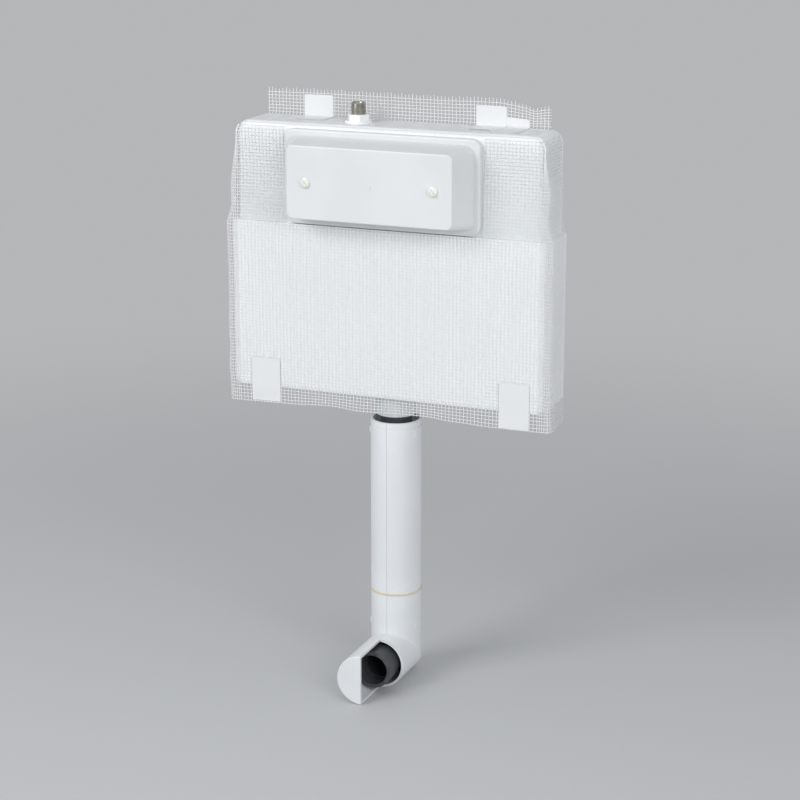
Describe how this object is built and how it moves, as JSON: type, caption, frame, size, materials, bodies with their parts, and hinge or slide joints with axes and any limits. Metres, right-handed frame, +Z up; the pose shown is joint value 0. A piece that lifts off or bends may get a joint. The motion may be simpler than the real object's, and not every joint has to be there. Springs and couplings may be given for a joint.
{
  "type": "toilet cistern",
  "caption": "Slim in-wall toilet cistern with insulating jacket, inspection box, plaster mesh, flush valve and shelled flush pipe ending in a bend.",
  "frame": {"origin": "middle of the tank's flat back, which lies against the wall", "axes": "+X to the right seen from the room, +Y into the wall, +Z up"},
  "size_m": [0.4718, 0.172, 0.8434],
  "materials": {
    "tank_plastic": "satin, milky blow-moulded polyethylene",
    "jacket_foam": "matt white moulded insulation, finely ribbed",
    "mesh_glass_fibre": "white coated glass-fibre net",
    "tape": "white adhesive tape",
    "box_plastic": "satin, slightly milky",
    "screw_plastic": "milky nylon",
    "frame_plastic": "satin",
    "brass": "turned brass",
    "nut_plastic": "white, satin",
    "steel": "stainless",
    "black_rubber": "matt",
    "grey_rubber": "matt, dark grey",
    "valve_plastic": "satin, light grey",
    "valve_blue": "satin, blue",
    "valve_green": "satin, green",
    "float_foam": "closed foam",
    "handle_plastic": "satin black",
    "clear_nut_plastic": "milky, ribbed",
    "pipe_plastic": "dark grey polyethylene",
    "shell_plastic": "white, satin",
    "band_elastic": "cream elastic"
  },
  "bodies": {
    "cistern": {"tank_shell": "tank_plastic", "insulation_jacket": "jacket_foam", "mesh_below_box": "mesh_glass_fibre", "mesh_left_of_box": "mesh_glass_fibre", "mesh_right_of_box": "mesh_glass_fibre", "mesh_over_top": "mesh_glass_fibre", "mesh_top_flap": "mesh_glass_fibre", "mesh_side_left": "mesh_glass_fibre", "mesh_side_right": "mesh_glass_fibre", "mesh_tabs": "tape", "access_frame": "frame_plastic", "access_gasket": "black_rubber", "frame_screws": "steel", "inlet_nipple": "brass", "inlet_gasket": "black_rubber", "inlet_washer": "nut_plastic", "inlet_nut": "nut_plastic", "stop_valve_body": "brass", "union_nut": "nut_plastic", "fill_valve_body": "valve_plastic", "fill_valve_cap": "valve_blue", "float_pivot_pin": "steel", "refill_tube": "valve_plastic", "outlet_gasket": "black_rubber", "valve_seat": "valve_plastic", "seat_locknut": "valve_plastic", "valve_cage": "valve_plastic", "lever_pin": "steel", "lever_bracket": "valve_plastic", "outlet_nut": "clear_nut_plastic", "pipe_seal": "black_rubber", "flush_pipe": "pipe_plastic", "flush_bend": "pipe_plastic", "bend_seal": "black_rubber", "outlet_seal": "grey_rubber", "pipe_shell_left": "shell_plastic", "pipe_shell_right": "shell_plastic", "elbow_shell_left": "shell_plastic", "elbow_shell_right": "shell_plastic", "joint_band": "band_elastic"},
    "inspection_cover": {"inspection_box": "box_plastic"},
    "left_box_screw": {"box_screw_left": "screw_plastic"},
    "right_box_screw": {"box_screw_right": "screw_plastic"},
    "stop_valve_key": {"stop_valve_spindle": "brass", "stop_valve_handle": "handle_plastic"},
    "float": {"float_arm": "valve_blue", "float_block": "float_foam"},
    "fill_pin": {"fill_valve_pin": "nut_plastic"},
    "flush_lift": {"lift_tube": "valve_green", "valve_seal": "black_rubber", "full_flush_rod": "valve_green"},
    "half_flush_lift": {"half_flush_sleeve": "valve_blue", "half_flush_rod": "valve_blue"},
    "full_flush_key": {"full_flush_lever": "valve_green"},
    "half_flush_key": {"half_flush_lever": "valve_blue"},
    "guard_half": {"outlet_guard": "shell_plastic"}
  },
  "joints": [
    {"name": "box_lift_off", "type": "slide", "parent": "cistern", "child": "inspection_cover", "axis": [0, -1, 0], "range_m": [0, 0.06]},
    {"name": "box_screw_left_turn", "type": "hinge", "parent": "inspection_cover", "child": "left_box_screw", "pos_m": [-0.098, -0.127, 0.1145], "axis": [0, -1, 0], "range_deg": [0, 90]},
    {"name": "box_screw_right_turn", "type": "hinge", "parent": "inspection_cover", "child": "right_box_screw", "pos_m": [0.088, -0.127, 0.1145], "axis": [0, -1, 0], "range_deg": [0, 90]},
    {"name": "stop_valve_turn", "type": "hinge", "parent": "cistern", "child": "stop_valve_key", "pos_m": [-0.0565, -0.0605, 0.132], "axis": [0, -1, 0], "range_deg": [0, 90]},
    {"name": "float_rise", "type": "hinge", "parent": "cistern", "child": "float", "pos_m": [-0.132, -0.0365, 0.164], "axis": [0, 1, 0], "range_deg": [0, 14]},
    {"name": "fill_pin_press", "type": "slide", "parent": "cistern", "child": "fill_pin", "axis": [0, 0, -1], "range_m": [0, 0.0025]},
    {"name": "full_flush_press", "type": "hinge", "parent": "cistern", "child": "full_flush_key", "pos_m": [0.02, -0.062, 0.15], "axis": [1, 0, 0], "range_deg": [0, 28]},
    {"name": "flush_lift_rise", "type": "slide", "parent": "cistern", "child": "flush_lift", "axis": [0, 0, 1], "range_m": [0, 0.0129]},
    {"name": "half_flush_press", "type": "hinge", "parent": "cistern", "child": "half_flush_key", "pos_m": [-0.02, -0.062, 0.15], "axis": [1, 0, 0], "range_deg": [0, 28]},
    {"name": "half_flush_lift_rise", "type": "slide", "parent": "cistern", "child": "half_flush_lift", "axis": [0, 0, 1], "range_m": [0, 0.0129]},
    {"name": "guard_pull_off", "type": "slide", "parent": "cistern", "child": "guard_half", "axis": [-1, 0, 0], "range_m": [0, 0.08]}
  ],
  "couplings": [
    {"joint": "fill_pin_press", "follows": "float_rise", "m_per_rad": 0.01},
    {"joint": "full_flush_press", "follows": "flush_lift_rise", "rad_per_m": 37.88},
    {"joint": "half_flush_press", "follows": "half_flush_lift_rise", "rad_per_m": 37.88}
  ]
}
